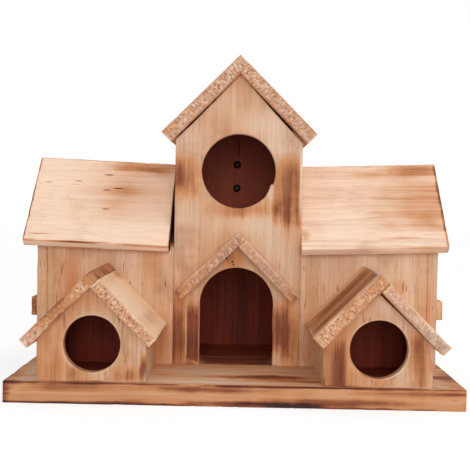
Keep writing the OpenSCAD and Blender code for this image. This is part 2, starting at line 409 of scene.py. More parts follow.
def flat_place(origin, axes):
    """Puts board points in place on three directions from an origin."""
    def place(points):
        return origin + points @ axes
    return place


ROOMS = {opening["name"]: np.array(opening["box_m"]) for opening in frame["record"]["physics"]["openings"]
         if opening["name"].endswith("_room")}
FRONT_LIP = np.array([0, 3 * MM, 0])
ROOM_NEAR = 4 * MM
ROOM_FADE = 3.5 * MM
DAYLIGHT = 46 * MM


# Its value is the mask for the painted shade inside the rooms.
def indoors(points):
    """How far inside a room each point lies: 1 in the room and on its inner faces, 0 half a board away.

    A room is its box in the record, less a lip at its front, under a gable that rises at 45 degrees. The
    value follows the distance outside it, and rises from a half behind the room's front, as daylight fades.
    """
    found = np.zeros(len(points))
    for name, (low, high) in ROOMS.items():
        across = 1 if "wing" in name else 0
        middle = (low[across] + high[across]) / 2
        rise = (high[across] - low[across]) / 2 - np.abs(points[:, across] - middle)
        beyond = np.maximum(low - points + FRONT_LIP, points - high)
        beyond[:, 2] = np.maximum(low[2] - points[:, 2], points[:, 2] - high[2] - rise)
        held = np.clip(1 - (beyond.max(axis=1) - ROOM_NEAR) / ROOM_FADE, 0, 1)
        dusk = np.clip(0.5 + (points[:, 1] - low[1]) / DAYLIGHT / 2, 0.5, 1)
        found = np.maximum(found, held * dusk)
    return found


SHARP_ANGLE = math.radians(42)


def make_piece(name, surface, place, look, node):
    """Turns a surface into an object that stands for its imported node."""
    points, quads, marks = surface
    placed = place(points)
    probe = np.array([[0, 0, 0], [1, 0, 0], [0, 1, 0], [0, 0, 1]]) * MM
    corner, *ends = place(probe)
    if np.linalg.det(np.array(ends) - corner) < 0:
        quads = quads[:, ::-1]
    # Mask for the painted shade inside the rooms.
    marks["inside"] = indoors(placed)
    mesh = bpy.data.meshes.new(name)
    mesh.from_pydata(placed, [], quads.tolist())
    for mark, values in marks.items():
        mesh.attributes.new(mark, "FLOAT", "POINT").data.foreach_set("value", values)
    mesh.polygons.foreach_set("use_smooth", np.ones(len(quads), bool))
    mesh.set_sharp_from_angle(angle=SHARP_ANGLE)
    mesh.materials.append(look)
    mesh.validate()
    piece = bpy.data.objects.new(name, mesh)
    bpy.context.scene.collection.objects.link(piece)
    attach(piece, BODY)
    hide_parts(node)
    return piece


def block_board(node, outward, grain, look, cut):
    """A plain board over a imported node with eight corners."""
    settings = bpy.context.scene.birdhouse_boards
    axes = board_axes(outward, grain)
    corners = board_corners(node, axes)
    size = np.array([np.linalg.norm(np.diff(corners, axis=way), axis=-1).mean() for way in range(3)])
    field_points, cells = patch([(0, 0), (size[0], 0), (size[0], size[1]), (0, size[1])], settings.grid)
    field_points = round_corners(field_points, size[:2], cut.corners)
    surface = board(field_points, cells, size[2], cut, settings)
    return make_piece(node + "_board", surface, block_place(corners, size), look, node)


# Shader building

class Shading:
    """A node tree with short ways to add nodes and join them."""

    def __init__(self, tree):
        self.nodes = tree.nodes
        self.links = tree.links

    def put(self, socket, value):
        """Joins or sets one input."""
        if isinstance(value, bpy.types.NodeSocket):
            self.links.new(value, socket)
        elif value is not None:
            socket.default_value = value

    def math(self, operation, first, second=None):
        node = self.nodes.new("ShaderNodeMath")
        node.operation = operation
        self.put(node.inputs[0], first)
        self.put(node.inputs[1], second)
        return node.outputs[0]

    def plus(self, first, second):
        return self.math("ADD", first, second)

    def minus(self, first, second):
        return self.math("SUBTRACT", first, second)

    def times(self, first, second):
        return self.math("MULTIPLY", first, second)

    def vector(self, operation, first, second=None):
        node = self.nodes.new("ShaderNodeVectorMath")
        node.operation = operation
        self.put(node.inputs[0], first)
        self.put(node.inputs[1], second)
        return node.outputs["Value" if operation == "LENGTH" else "Vector"]

    def blend(self, factor, first, second, mode="MIX"):
        node = self.nodes.new("ShaderNodeMix")
        node.data_type = "RGBA"
        node.blend_type = mode
        self.put(node.inputs[0], factor)
        self.put(node.inputs[6], first)
        self.put(node.inputs[7], second)
        return node.outputs[2]

    def step(self, value, low, high):
        """Smooth step from 0 at low to 1 at high; a low above the high falls instead."""
        node = self.nodes.new("ShaderNodeMapRange")
        node.interpolation_type = "SMOOTHSTEP"
        start, end = (0.0, 1.0) if low < high else (1.0, 0.0)
        self.put(node.inputs[0], value)
        for index, number in enumerate((min(low, high), max(low, high), start, end), start=1):
            node.inputs[index].default_value = number
        return node.outputs[0]

    def noise(self, vector, stretch, detail=2.0):
        """Noise with this many features to the metre along each axis."""
        node = self.nodes.new("ShaderNodeTexNoise")
        node.inputs["Scale"].default_value = 1.0
        node.inputs["Detail"].default_value = detail
        self.put(node.inputs["Vector"], self.vector("MULTIPLY", vector, stretch))
        return node.outputs[0]

    def attribute(self, name):
        node = self.nodes.new("ShaderNodeAttribute")
        node.attribute_name = name
        return node.outputs["Fac"]

    def group(self, tree, **values):
        """Places a node group; input names have their spaces written as underlines."""
        node = self.nodes.new("ShaderNodeGroup")
        node.node_tree = tree
        for label, value in values.items():
            self.put(node.inputs[label.replace("_", " ")], value)
        return node.outputs


def group_tree(name, inputs, outputs):
    """A node group with named sockets: its tree, its drawing helper and its two ends."""
    tree = bpy.data.node_groups.new(name, "ShaderNodeTree")
    for label, kind in inputs.items():
        tree.interface.new_socket(label, in_out="INPUT", socket_type="NodeSocket" + kind)
    for label, kind in outputs.items():
        tree.interface.new_socket(label, in_out="OUTPUT", socket_type="NodeSocket" + kind)
    given = tree.nodes.new("NodeGroupInput").outputs
    made = tree.nodes.new("NodeGroupOutput").inputs
    return tree, Shading(tree), given, made


def grain_group():
    """Grain of a sawn softwood board along X, with the tree's heart on the X axis.

    Year rings are the saw-tooth of the wavering distance from the heart over the ring width. Uneven
    streaks, slow bands, fine fibres, long thin lines and short dark dashes lie along the grain.
    """
    tree, s, given, made = group_tree(
        "board_grain", {"Vector": "Vector", "Ring Width": "Float", "Waviness": "Float"},
        dict.fromkeys(("Late", "Streak", "Band", "Sap", "Fibre", "Dash", "Line", "Height"), "Float"))
    place = given["Vector"]
    across = s.vector("LENGTH", s.vector("MULTIPLY", place, (0, 1, 1)))
    wide = s.noise(place, (2.4, 95, 95), 3)
    fine = s.noise(place, (6, 430, 430), 3)
    slow = s.minus(s.noise(place, (6, 26, 26), 1), 0.5)
    quick = s.minus(s.noise(place, (22, 150, 150), 2), 0.5)
    waver = s.plus(slow, s.times(quick, 0.22))
    waver = s.times(s.times(waver, 2), given["Waviness"])
    ring = s.math("DIVIDE", s.plus(across, waver), given["Ring Width"])
    ring = s.plus(ring, s.times(wide, 2.6))
    turn = s.math("FRACT", ring)
    late = s.times(s.step(turn, 0.2, 0.88), s.step(turn, 1.0, 0.9))
    lot = s.nodes.new("ShaderNodeTexWhiteNoise")
    lot.noise_dimensions = "1D"
    s.put(lot.inputs["W"], s.math("FLOOR", ring))
    strong = s.plus(s.times(s.math("POWER", lot.outputs["Value"], 1.6), 0.9), 0.1)
    late = s.times(late, strong)
    hair = s.noise(place, (14, 900, 900), 1)
    mixed = s.plus(s.times(wide, 0.5), s.times(fine, 0.3))
    mixed = s.plus(mixed, s.times(hair, 0.2))
    streak = s.step(mixed, 0.4, 0.62)
    sap = s.step(s.noise(s.vector("ADD", place, (0.7, 0.3, 0.1)), (3, 45, 45), 2), 0.42, 0.66)
    band = s.noise(place, (5, 26, 26), 2)
    brush = s.noise(place, (1100, 40, 40), 2)
    fibre = s.noise(place, (55, 1300, 1300), 2)
    fibre = s.plus(s.times(fibre, 0.8), s.times(brush, 0.2))
    dash = s.step(s.noise(place, (70, 1000, 1000), 0), 0.69, 0.8)
    line = s.step(s.noise(s.vector("ADD", place, (0.2, 0.5, 0.9)), (22, 560, 560), 1), 0.58, 0.72)
    for label, value in (("Late", late), ("Streak", streak), ("Band", band), ("Sap", sap), ("Fibre", fibre),
                         ("Dash", dash), ("Line", line)):
        s.put(made[label], value)
    height = s.plus(s.times(late, 0.6), s.times(fibre, 0.5))
    s.put(made["Height"], s.minus(height, dash))
    return tree


def scorch_group():
    """Soft patch: full inside, fading to nothing at its reach over the soft share.

    The rim wavers, and is combed out along the grain. The distance is the longest of the three shares for a
    square patch and their length for a round one.
    """
    tree, s, given, made = group_tree(
        "scorch_patch", {**dict.fromkeys(("Vector", "Grain", "Centre", "Reach"), "Vector"),
                         **dict.fromkeys(("Strength", "Square", "Waver", "Soft"), "Float")},
        {"Amount": "Float"})
    offset = s.vector("SUBTRACT", given["Vector"], given["Centre"])
    shares = s.vector("ABSOLUTE", s.vector("DIVIDE", offset, given["Reach"]))
    parts = s.nodes.new("ShaderNodeSeparateXYZ")
    s.put(parts.inputs[0], shares)
    longest = s.math("MAXIMUM", parts.outputs[0], s.math("MAXIMUM", parts.outputs[1], parts.outputs[2]))
    round_far = s.times(s.vector("LENGTH", shares), s.minus(1.0, given["Square"]))
    far = s.plus(round_far, s.times(longest, given["Square"]))
    waver = s.minus(s.noise(given["Vector"], (55, 55, 55), 4), 0.5)
    comb = s.minus(s.noise(given["Grain"], (5, 260, 260), 3), 0.5)
    waver = s.plus(waver, comb)
    far = s.plus(far, s.times(waver, given["Waver"]))
    within = s.math("DIVIDE", s.minus(1.1, far), given["Soft"])
    s.put(made["Amount"], s.times(s.step(within, 0.0, 1.0), given["Strength"]))
    return tree


def torch_group():
    """Colour of wood under a torch: bare, toasted, brown and charred as the amount rises, streaks first."""
    tree, s, given, made = group_tree(
        "torched_wood", {**dict.fromkeys(("Bare", "Toast", "Brown", "Char"), "Color"),
                         **dict.fromkeys(("Amount", "Streak", "Fibre"), "Float")}, {"Color": "Color"})
    streak = s.plus(s.times(given["Streak"], 0.45), s.times(given["Fibre"], 0.5))
    amount = s.times(given["Amount"], s.plus(streak, 0.52))
    tone = s.blend(s.step(amount, -0.1, 0.6), given["Bare"], given["Toast"])
    tone = s.blend(s.step(amount, 0.3, 1.15), tone, given["Brown"])
    s.put(made["Color"], s.blend(s.step(amount, 1.15, 1.9), tone, given["Char"]))
    return tree


def sawn_group():
    """Rough-sawn face with spots torn along X: dark spots, light spots, a slow tone and a height."""
    tree, s, given, made = group_tree(
        "sawn_face", {"Vector": "Vector"}, dict.fromkeys(("Speck", "Fleck", "Tone", "Height"), "Float"))
    coarse = s.noise(given["Vector"], (640, 300, 300), 2)
    fine = s.noise(given["Vector"], (1300, 1000, 1000), 2)
    mixed = s.plus(s.times(coarse, 0.6), s.times(fine, 0.4))
    s.put(made["Speck"], s.step(mixed, 0.48, 0.38))
    s.put(made["Fleck"], s.step(mixed, 0.53, 0.63))
    s.put(made["Tone"], s.step(s.noise(given["Vector"], (22, 40, 40), 2), 0.38, 0.62))
    s.put(made["Height"], mixed)
    return tree


SHARED = {}


def shared(name):
    """The shader group of that name, built the first time that it is asked for."""
    makers = {"grain": grain_group, "scorch": scorch_group, "torch": torch_group, "sawn": sawn_group}
    if name not in SHARED:
        SHARED[name] = makers[name]()
    return SHARED[name]


@dataclass
class Wood:
    """Looks of one board or group of boards. Places and sizes are in millimetres, angles in degrees.

    turn and heart place the grain, ring to sap are its figure, edge to smudge its wear and soot, and sawn to
    shade its rough ends. split is torch in the split, the room shade field paints shade inside the rooms in
    torch colours, and sawn_torch is the share of torch that rough ends take.
    """
    name: str
    turn: tuple = (0, 0, 0)
    heart: tuple = (0, 0, 0)
    ring: float = 3.2
    wavy: float = 2.0
    bare: str = "tan"
    late: float = 0.35
    streak: float = 0.55
    band: float = 0.35
    dash: float = 0.5
    line: float = 0.35
    sap: float = 0.0
    edge: float = 0.3
    worn: float = 0.0
    sooty: float = 0.25
    smudge: float = 0.3
    sawn: float = 1.0
    sawn_turn: float = 0.0
    fine: float = 1.0
    contrast: float = 0.7
    dusk: float = 0.35
    ash: float = 0.0
    shade: float = 1.0
    split: float = 0.0
    # Painted shade in the rooms, drawn with the torch colours by the inside mark.
    painted_room_shade: float = 0.0
    sawn_torch: float = 0.25
    patches: list = field(default_factory=list)
    pale: list = field(default_factory=list)


@dataclass
class Patch:
    """One torch or pale mark; a few are painted shade and painted light. Centre and reach in millimetres,
    strength, and how square, wavering and soft its rim is."""
    centre: tuple
    reach: tuple
    strength: float
    square: float = 0.0
    waver: float = 0.8
    soft: float = 1.05


def in_metres(values):
    """Millimetres as metres."""
    return tuple(value * MM for value in values)


def solid(rgb, factor=1.0):
    """A colour socket's value."""
    return (rgb[0] * factor, rgb[1] * factor, rgb[2] * factor, 1.0)


UPRIGHT = (0, 90, 0)
ACROSS = (0, 0, 0)
INWARD = (0, 0, -90)


def turned_place(s, place, heart, degrees):
    """Object coordinates centred on the tree's heart and turned so that the grain lies along X."""
    node = s.nodes.new("ShaderNodeMapping")
    s.put(node.inputs["Vector"], s.vector("SUBTRACT", place, in_metres(heart)))
    node.inputs["Rotation"].default_value = tuple(math.radians(value) for value in degrees)
    return node.outputs[0]


def grey(s, value):
    """A grey colour of that value."""
    node = s.nodes.new("ShaderNodeCombineColor")
    for socket in node.inputs[:3]:
        s.put(socket, value)
    return node.outputs[0]


def tinted(s, tone, mask, share, rgb):
    """A tone blended towards a colour by a share of a mask."""
    return s.blend(s.times(mask, share), tone, solid(rgb))


def bare_wood(s, look, colours, grain, place):
    """Planed wood before the torch: rings, streaks, slow bands, dashes and smudges over the bare colour."""
    tone = tinted(s, solid(getattr(colours, look.bare)), grain["Streak"], look.streak, colours.streak)
    tone = tinted(s, tone, grain["Sap"], look.sap, colours.sap)
    tone = tinted(s, tone, s.step(grain["Band"], 0.4, 0.65), look.band, colours.toast)
    tone = tinted(s, tone, grain["Late"], look.late, colours.ring)
    tone = tinted(s, tone, grain["Line"], look.line, colours.ring)
    tone = tinted(s, tone, grain["Dash"], look.dash, colours.brown)
    lighter = s.plus(s.times(grain["Fibre"], 0.44), 0.78)
    tone = s.blend(1.0, tone, grey(s, lighter), "MULTIPLY")
    smudge = s.step(s.noise(place, (34, 34, 34), 4), 0.5, 0.78)
    return s.blend(s.times(smudge, look.smudge), tone, solid(colours.streak), "MULTIPLY")


def sawn_wood(s, look, colours, rough):
    """Rough-sawn wood: a slow change of tone under dark and light torn spots."""
    tone = s.blend(s.times(rough["Tone"], look.dusk), solid(colours.sawn, look.shade),
                   solid(colours.toast, look.shade))
    tone = s.blend(s.times(s.minus(1.0, rough["Tone"]), look.ash), tone, solid(colours.ash, look.shade))
    tone = tinted(s, tone, rough["Speck"], look.contrast, colours.speck)
    return tinted(s, tone, rough["Fleck"], look.contrast, colours.fleck)


def add_patches(s, amount, patches, place, turned):
    """An amount with all patches of a list added."""
    for mark in patches:
        spot = s.group(shared("scorch"), Vector=place, Grain=turned, Centre=in_metres(mark.centre),
                       Reach=in_metres(mark.reach), Strength=mark.strength, Square=mark.square,
                       Waver=mark.waver, Soft=mark.soft)
        amount = s.plus(amount, spot["Amount"])
    return amount


def torch_amount(s, look, place, turned):
    """How much torch each point got: uneven soot, the look's patches, the split, the edges and the rooms,
    where the torch colours are painted shade.
    """
    soot = s.step(s.noise(turned, (9, 30, 30), 3), 0.45, 0.8)
    amount = add_patches(s, s.times(soot, look.sooty), look.patches, place, turned)
    amount = s.plus(amount, s.times(s.attribute("split"), look.split))
    # Painted shade: the inside mark adds torch colour inside the rooms.
    amount = s.plus(amount, s.times(s.attribute("inside"), look.painted_room_shade))
    kept = s.minus(1.0, s.times(s.attribute("sawn"), look.sawn * (1 - look.sawn_torch)))
    long_edge = s.step(s.noise(place, (26, 26, 26), 3), 0.36, 0.6)
    edge = s.times(s.attribute("arris"), long_edge)
    return s.plus(s.times(amount, kept), s.times(edge, look.edge))


def new_material(name):
    """A material with nodes: the material, its drawing helper, its shader and its Object coordinates."""
    material = bpy.data.materials.new(name)
    material.use_nodes = True
    s = Shading(material.node_tree)
    return material, s, s.nodes["Principled BSDF"], s.nodes.new("ShaderNodeTexCoord").outputs["Object"]


def wood_material(look):
    """Scorched softwood: grain, torch marks, sawn ends, worn edges and painted shade in the rooms."""
    colours = bpy.context.scene.birdhouse_wood
    material, s, shader, place = new_material(look.name)
    turned = turned_place(s, place, look.heart, look.turn)
    grain = s.group(shared("grain"), Vector=turned, Ring_Width=look.ring * MM, Waviness=look.wavy * MM)
    sawn_place = turned_place(s, place, (0, 0, 0), (0, look.sawn_turn, 0))
    rough = s.group(shared("sawn"), Vector=s.vector("MULTIPLY", sawn_place, (look.fine,) * 3))
    sawn = s.times(s.attribute("sawn"), look.sawn)
    planed = bare_wood(s, look, colours, grain, place)
    # Pale patches: rubbed or bare wood, and in a few places painted light.
    if look.pale:
        pale_and_painted_light = add_patches(s, 0.0, look.pale, place, turned)
        planed = s.blend(s.math("MINIMUM", pale_and_painted_light, 1.0), planed, solid(colours.fleck))
    bare = s.blend(sawn, planed, sawn_wood(s, look, colours, rough))
    burnt = s.group(shared("torch"), Bare=bare, Toast=solid(colours.toast), Brown=solid(colours.brown),
                    Char=solid(colours.char), Amount=torch_amount(s, look, place, turned),
                    Streak=grain["Streak"], Fibre=grain["Fibre"])
    torn = s.times(sawn, look.contrast)
    spotted = tinted(s, burnt["Color"], s.times(rough["Speck"], torn), 0.55, colours.speck)
    spotted = tinted(s, spotted, s.times(rough["Fleck"], torn), 0.35, colours.fleck)
    rubbed = s.times(s.attribute("upper"), s.step(s.noise(place, (40, 40, 40), 3), 0.35, 0.6))
    worn = tinted(s, spotted, rubbed, look.worn, colours.fleck)
    # Painted shade: the inside colour multiplies the wood as the inside mark rises.
    painted_shade_tone = s.blend(1.0, worn, solid(colours.inside), "MULTIPLY")
    inner = s.step(s.attribute("inside"), 0.45, 1.0)
    s.put(shader.inputs["Base Color"], s.blend(inner, worn, painted_shade_tone))
    s.put(shader.inputs["Roughness"], s.plus(s.times(grain["Fibre"], 0.2), 0.58))
    shader.inputs["Specular IOR Level"].default_value = 0.25
    bump = s.nodes.new("ShaderNodeBump")
    bump.inputs["Strength"].default_value = 0.5
    bump.inputs["Distance"].default_value = 0.25 * MM
    rise = s.times(s.times(rough["Height"], sawn), 1.5)
    s.put(bump.inputs["Height"], s.plus(grain["Height"], rise))
    s.put(shader.inputs["Normal"], bump.outputs[0])
    return material


def screw_material():
    """Blackened steel with a slightly uneven sheen."""
    colours = bpy.context.scene.birdhouse_wood
    material, s, shader, place = new_material("blackened_screw")
    mottle = s.noise(place, (900, 900, 900), 3)
    s.put(shader.inputs["Base Color"], s.blend(mottle, solid(colours.metal), solid(colours.metal, 2.2)))
    s.put(shader.inputs["Roughness"], s.plus(s.times(mottle, 0.25), 0.35))
    shader.inputs["Metallic"].default_value = 0.8
    return material


# Torch marks, listed for each board. A few are painted shade: in the gaps by the tower, inside the arch
# and, partly, along the left house's front edge.

MARKS = {
    "base": [
        Patch((0, -101, 7), (420, 5, 40), 0.38, 1.0, 0.3),
        Patch((-168, -60, 15), (22, 70, 5), 0.55, 0.3, 1.2),
        Patch((168, -55, 15), (26, 70, 5), 0.65, 0.3, 1.2), Patch((-158, -97, 14), (12, 6, 6), 0.5),
        Patch((22, -68, 15.5), (46, 13, 4), 1.5, 0, 0.7),
        # Painted shade: the first patch darkens the floor inside the arch.
        Patch((0, -2, 15.5), (32, 19, 4), 0.9, 1.0, 0.3, 0.45), Patch((-30, -70, 15.5), (60, 5, 4), 0.45),
        Patch((40, -80, 15.5), (60, 5, 4), 0.35), Patch((0, -28, 15.5), (60, 14, 4), 0.35),
        Patch((0, -100, 15.2), (400, 1, 0.9), 0.9, 0.8, 0.7), Patch((-25, -100, 12), (60, 4, 4), 0.9),
        Patch((22, -100, 2), (70, 4, 3), 1.0), Patch((135, -100, 12), (50, 4, 4), 0.7),
        Patch((-100, -100, 0.5), (90, 4, 2.5), 0.9), Patch((-164, -100, 8), (8, 6, 14), 0.9),
        Patch((-110, -100, 12), (50, 4, 4), 0.6), Patch((70, -100, 5), (70, 4, 4), 0.6)],
    "tower_front": [
        Patch((-43, -20, 168), (18, 8, 30), 0.82, 0.8, 0.8, 1.0),
        Patch((-40, -20, 196), (20, 8, 30), -1.0, 1, 0.9, 1.3),
        Patch((-46, -20, 165), (5, 8, 15), 0.2, 0.5, 0.5),
        Patch((39, -20, 160), (17, 8, 42), 0.88, 0.8, 0.9, 1.0),
        Patch((49.5, -20, 165), (1.6, 8, 34), -0.6, 1, 0.2, 0.6),
        Patch((41, -20, 198), (20, 8, 30), -1.0, 1, 0.9, 1.3), Patch((24, -20, 141), (30, 8, 14), 0.35),
        Patch((0, -20, 138), (38, 8, 8), 0.4), Patch((40, -20, 128), (14, 8, 26), 0.3),
        Patch((34, -20, 44), (11, 8, 25), 0.75, 1.0, 0.5, 0.7), Patch((42, -20, 42), (16, 8, 40), 0.5),
        Patch((-34, -20, 36), (6.5, 8, 30), 0.45, 1.0, 0.3, 0.8),
        Patch((-46, -20, 40), (18, 8, 50), 1.0, 0.3),
        Patch((-39.4, -20, 45), (0.7, 8, 26), -1.2, 1.0, 0.1, 0.6), Patch((-4, -20, 100), (18, 8, 12), 0.5),
        Patch((-36, -20, 208.6), (3, 4, 1.2), 1.6, 0, 0.5),
        Patch((-31, -20, 213.6), (2.4, 4, 1.2), 1.6, 0, 0.5),
        Patch((-26, -20, 218.6), (2.4, 4, 1.2), 1.4, 0, 0.5),
        Patch((-8.4, -20, 100.2), (1, 3, 1), 1.8, 0, 0.2), Patch((-3.8, -20, 97.6), (1, 3, 1), 1.8, 0, 0.2),
        Patch((-2.8, -20, 95.3), (0.9, 3, 0.9), 1.8, 0, 0.2)],
    "tower_walls": [
        Patch((-0.6, 82, 193), (0.7, 3, 12), 2.2, 0, 0.2),
        # Painted shade: the next patch chars the wall's front corner dark in the gap by the left wing.
        Patch((-50, -16, 113), (3, 9, 12), 2.2, 0.8, 0.2),
        # Painted shade: the first patch darkens the back wall inside the arch.
        Patch((0, 82, 50), (60, 4, 60), 0.8, 1.0, 0.2, 0.4), Patch((4, 82, 60), (3, 4, 50), 0.4),
        Patch((-18, 82, 60), (2, 4, 50), 0.4), Patch((0, 90, 22), (46, 3, 16), 0.5),
        Patch((30, 90, 150), (14, 3, 60), 0.35), Patch((-40, 90, 190), (14, 3, 26), 0.4)],
    "left_roof": [
        Patch((-94, 12, 154), (60, 58, 58), 0.66, 0, 0.25, 2.1), Patch((-84, 31, 173), (34, 8, 8), 0.45),
        Patch((-100, -5, 138), (24, 22, 22), 0.13, 0, 0.3, 1.5),
        Patch((-93, 11, 153), (25, 20, 20), 0.13, 0, 0.3, 1.5),
        Patch((-85, 27, 168), (24, 16, 16), 0.13, 0, 0.3, 1.5), Patch((-62, 30, 170), (22, 10, 10), 0.3),
        Patch((-120, -31.7, 112), (60, 1.3, 1.3), 0.9, 0.4), Patch((-167, 0, 145), (1.2, 60, 60), 0.6, 0.6),
        # Painted shade: the next patch draws the roof's end charred dark in the gap by the tower.
        Patch((-52, 0, 145), (1.6, 60, 60), 2.4, 1.0, 0.1, 0.3),
        Patch((-108, 22.7, 165.4), (5, 0.8, 0.8), 1.7, 0, 0.3),
        Patch((-98.7, 11.8, 154.1), (5, 0.8, 0.8), 1.7, 0, 0.3),
        Patch((-108, 10.1, 152.7), (3.5, 0.7, 0.7), 1.4, 0, 0.3),
        Patch((-106.6, -5.3, 137.3), (4, 0.7, 0.7), 1.4, 0, 0.3),
        Patch((-156.6, 14.1, 158.5), (4, 0.7, 0.7), 1.1, 0, 0.3),
        Patch((-132.2, 16.3, 159.8), (4, 0.7, 0.7), 1.0, 0, 0.3),
        Patch((-138.7, 3.5, 147.2), (1.2, 0.8, 0.8), 0.6, 0, 0.4),
        Patch((-150, -27, 117.7), (16, 0.7, 0.7), 0.8), Patch((-110, 98, 116), (70, 8, 8), 0.45),
        Patch((-146, 70, 145), (30, 30, 30), 0.4)],
    "right_roof": [
        Patch((146, 31, 175), (48, 13, 13), 0.6, 0.2, 0.6, 1.6),
        Patch((154, 10, 154), (74, 52, 52), 0.62, 0.1, 0.5, 1.8),
        Patch((110, 26, 170), (56, 10, 10), 0.34, 0, 0.6, 1.4),
        Patch((148, -8, 136), (58, 26, 26), 0.62, 0, 0.5, 1.7), Patch((70, -12, 132), (40, 22, 22), -0.25),
        Patch((164, 4, 148), (2.4, 60, 60), 0.8, 0.6), Patch((160, 31, 176), (20, 12, 12), 0.1, 0, 1.0),
        Patch((53, -21, 120), (6, 9, 9), 0.4), Patch((130, -24.3, 119.4), (38, 1.2, 1.2), 0.5),
        Patch((120, 6.5, 149.6), (42, 0.8, 0.8), 0.7), Patch((80, -4, 139), (30, 0.6, 0.6), 0.5),
        Patch((110, 96, 118), (60, 9, 9), 0.4), Patch((70, 62, 152), (26, 26, 26), 0.35)],
    "left_wing": [
        # Painted shade: the first patch chars the wall's top dark in the gap by the tower.
        Patch((-52, -16, 115), (4, 7, 9), 2.4, 0.8, 0.2), Patch((-138, -20, 75), (26, 8, 44), 0.32),
        Patch((-138.4, -20, 89), (0.9, 8, 6), 0.7, 0, 0.4), Patch((-58, -20, 36), (14, 8, 40), 0.55),
        Patch((-66, -20, 95), (16, 8, 26), 0.35), Patch((-158, 35, 20), (4, 70, 12), 0.5),
        Patch((-158, 82, 60), (4, 16, 60), 0.4), Patch((-100, 90, 22), (80, 4, 14), 0.5),
        Patch((-150, 90, 70), (16, 4, 50), 0.4)],
    "right_wing": [
        Patch((131, -20, 80), (1.0, 8, 8), 0.7, 0, 0.4), Patch((128, -20, 80), (9, 8, 10), 0.3),
        Patch((57, -20, 28), (9, 8, 20), 0.1, 0.8), Patch((150, -20, 55), (10, 8, 40), 0.3),
        Patch((158, 30, 20), (4, 70, 12), 0.5), Patch((158, -8, 70), (4, 14, 50), 0.4),
        Patch((104, 90, 22), (70, 4, 14), 0.45), Patch((148, 90, 90), (18, 4, 40), 0.35)],
    "left_house": [
        # Partly scorch, partly painted shade: the first patch darkens the front along its right edge.
        Patch((-64.5, -97.5, 26), (3.4, 6, 15), 1.5, 0.3, 0.6), Patch((-74, -97.5, 21), (14, 6, 8), 0.5),
        Patch((-101, -97.5, 20), (60, 6, 22), 0.25), Patch((-126, -97.5, 30), (6, 6, 26), 0.35),
        Patch((-101, -97.5, 74), (24, 6, 16), 0.4), Patch((-115, -97.5, 22), (6, 6, 12), 0.35)],
    "right_house": [
        Patch((70, -97.5, 30), (11, 6, 24), 0.75, 0.7, 0.5, 0.7), Patch((75, -97.5, 24), (1.4, 6, 18), 0.3),
        Patch((131, -97.5, 34), (13, 6, 32), 0.65, 0.5), Patch((103, -97.5, 19), (50, 6, 14), 0.14),
        Patch((127, -97.5, 44), (9, 6, 18), 0.35)],
    "left_outer_roof": [
        Patch((-128, -109, 68), (26, 6, 26), 0.75, 0.3),
        Patch((-97, -62, 92), (12, 62, 8), 0.75, 0.8, 0.3, 0.5)],
    "left_inner_roof": [
        Patch((-93, -30, 87), (8, 30, 6), 0.4), Patch((-94, -70, 87), (9, 70, 9), 0.2, 0.6),
        Patch((-64, -60, 58), (7, 60, 7), 0.25, 0.6)],
    "right_inner_roof": [
        Patch((83, -110, 79), (60, 4, 60), 0.45, 1.0, 0.4),
        Patch((83, -90, 79), (40, 15, 40), 0.5, 1.0, 0.6, 0.8),
        Patch((80, -56, 75), (40, 16, 40), 0.45, 0.8), Patch((80, -60, 76), (60, 60, 60), 0.62, 1.0, 0.3)],
}


# Pale marks, listed where the wood is rubbed or was left bare. Some are painted light: over the shade
# under the right wing's eave and the right house's roofs, and a highlight on the left house's inner slope.

PALE = {
    "base": [
        Patch((0, -90, 15.5), (230, 8, 3), 0.5, 0.3, 1.0), Patch((-150, -50, 15.5), (16, 60, 4), 0.6),
        Patch((152, -50, 15.5), (16, 60, 4), 0.7)],
    "tower_front": [
        Patch((49, -20, 165), (2.5, 8, 40), 0.4), Patch((18, -20, 208), (30, 8, 14), 0.3),
        Patch((-20, -20, 225), (26, 8, 16), 0.2), Patch((0, -20, 128), (44, 8, 16), 0.3, 0, 1.0)],
    "right_roof": [
        Patch((74, -14, 130), (46, 26, 26), 0.35, 0, 0.9)],
    # Painted light: lifts the shade under the wing's eave.
    "right_wing": [
        Patch((112, -20, 96), (60, 8, 26), 0.22, 0, 1.0)],
    # Painted highlight: pale on the slope that faces the top lamp.
    "left_inner_roof": [
        Patch((-78, -80, 72), (40, 44, 40), 0.6, 0, 0.8)],
    # Painted light: lifts the shade under the house's roofs.
    "right_house": [
        Patch((101, -97.5, 76), (26, 6, 17), 0.5, 0, 0.6)],
}


def marked(name):
    """The torch and pale marks of a board or group of boards, as fields of its looks."""
    return {"patches": MARKS.get(name, []), "pale": PALE.get(name, [])}


# Operators

class BIRDHOUSE_OT_base(bpy.types.Operator):
    """Base board with its grain along the front and scorched side edges"""
    bl_idname = "birdhouse.base"
    bl_label = "Base board"

    def execute(self, context):
        look = Wood("base_wood", ACROSS, (60, 30, -60), ring=3.4, wavy=4, late=0.75, streak=1.0, band=0.3,
                    sap=0.62, line=0.8, edge=0.75, sooty=1.1, sawn=0.3, **marked("base"))
        block_board("base_board", (0, 0, 1), (1, 0, 0), wood_material(look), Cut(1, (0,)))
        return {"FINISHED"}


# Gabled walls: how near points lie on a face, holes as shares of a wall's height, and how rims are sawn

TOUCH = 0.05 * MM
ENTRANCE = (0.1, 0.75)
TOWER_HOLE = (0.53, 0.82)
INNER_HALF = 0.45
RAY_STEP = 1.3
RIM_CIRCLE = 10 * MM
RIM_CELL = 6 * MM


def wall_axes(outward):
    """Across, up and into a wall that faces outward."""
    up = np.array([0, 0, 1.0])
    into = -np.array(outward, float)
    return np.array([np.cross(up, into), up, into])


def wall_face(node, axes):
    """A wall's outer face: its packed points across and up, its depth and the wall's thickness."""
    points = node_points(node) @ axes.T
    depth = points[:, 2].min()
    return points[np.abs(points[:, 2] - depth) < TOUCH][:, :2], depth, points[:, 2].max() - depth


